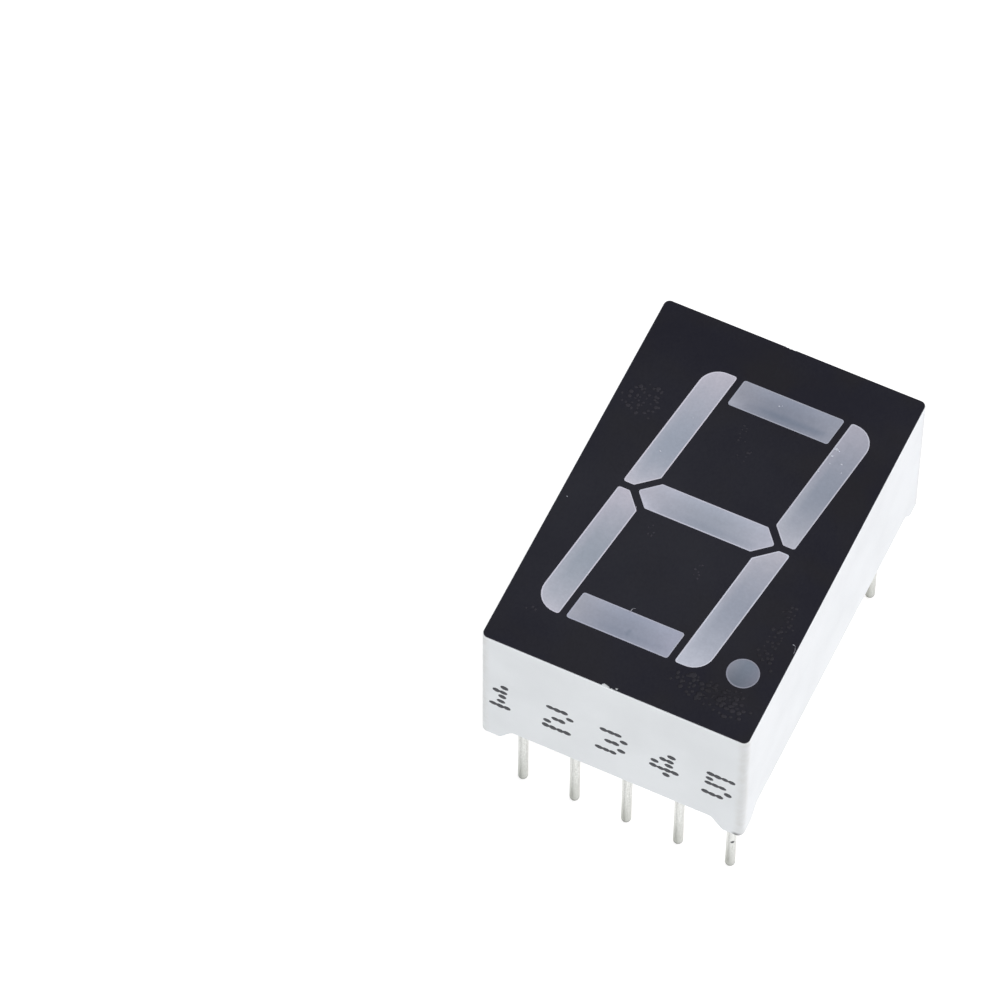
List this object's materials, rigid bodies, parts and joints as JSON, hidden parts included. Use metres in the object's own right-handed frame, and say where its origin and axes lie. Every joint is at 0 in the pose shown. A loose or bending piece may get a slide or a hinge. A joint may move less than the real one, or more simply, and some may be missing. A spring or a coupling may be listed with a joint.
{
  "type": "seven segment display",
  "caption": "Numeric display: white box casing, black face with slanted diffusing segments and a decimal point, round solder pins below.",
  "frame": {"origin": "under the middle of the face, level with the tips of the pins", "axes": "+Z out of the face, +Y towards the top of the digit, +X to the digit's right"},
  "size_m": [0.0126, 0.019, 0.0147],
  "materials": {
    "casing_white": "satin",
    "coat_black": "satin",
    "diffusing_resin": "satin",
    "laminate": "satin",
    "copper": "satin",
    "solder": "satin",
    "potting_resin": "gloss",
    "chip": "gloss",
    "gold_wire": "gloss",
    "tinned_pin": "satin"
  },
  "bodies": {
    "root": {"housing": "casing_white", "face_coat": "coat_black", "circuit_board": "laminate", "copper_tracks": "copper", "solder_joints": "solder", "back_resin": "potting_resin", "segment_a": "diffusing_resin", "segment_b": "diffusing_resin", "segment_c": "diffusing_resin", "segment_d": "diffusing_resin", "segment_e": "diffusing_resin", "segment_f": "diffusing_resin", "segment_g": "diffusing_resin", "decimal_point": "diffusing_resin", "die_a": "chip", "die_b": "chip", "die_c": "chip", "die_d": "chip", "die_e": "chip", "die_f": "chip", "die_g": "chip", "die_dp": "chip", "wire_a": "gold_wire", "wire_b": "gold_wire", "wire_c": "gold_wire", "wire_d": "gold_wire", "wire_e": "gold_wire", "wire_f": "gold_wire", "wire_g": "gold_wire", "wire_dp": "gold_wire", "pin_1": "tinned_pin", "pin_2": "tinned_pin", "pin_3": "tinned_pin", "pin_4": "tinned_pin", "pin_5": "tinned_pin", "pin_6": "tinned_pin", "pin_7": "tinned_pin", "pin_8": "tinned_pin", "pin_9": "tinned_pin", "pin_10": "tinned_pin"}
  },
  "joints": []
}
